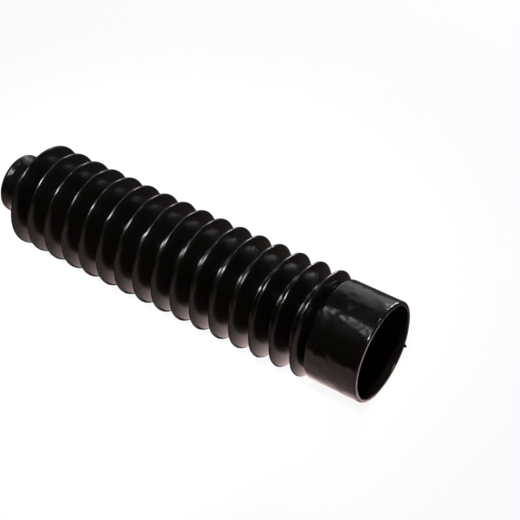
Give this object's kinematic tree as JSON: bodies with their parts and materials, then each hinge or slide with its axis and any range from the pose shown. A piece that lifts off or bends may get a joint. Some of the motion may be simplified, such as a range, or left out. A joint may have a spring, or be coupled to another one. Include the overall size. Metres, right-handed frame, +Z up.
{
  "type": "fork gaiter",
  "caption": "Ribbed black rubber bellows, open at both ends, with a small cuff for a fork's upper tube and a large cuff for its slider.",
  "frame": {"origin": "on the surface that the gaiter lies on, under the middle of its length", "axes": "+X along the gaiter's axis, out of the large cuff's mouth; +Z up; the axis runs 34.48 mm above the surface"},
  "size_m": [0.285, 0.07, 0.0695],
  "materials": {
    "black_rubber": "glossy moulded rubber with a faint ripple"
  },
  "bodies": {
    "root": {"gaiter": "black_rubber"}
  },
  "joints": []
}
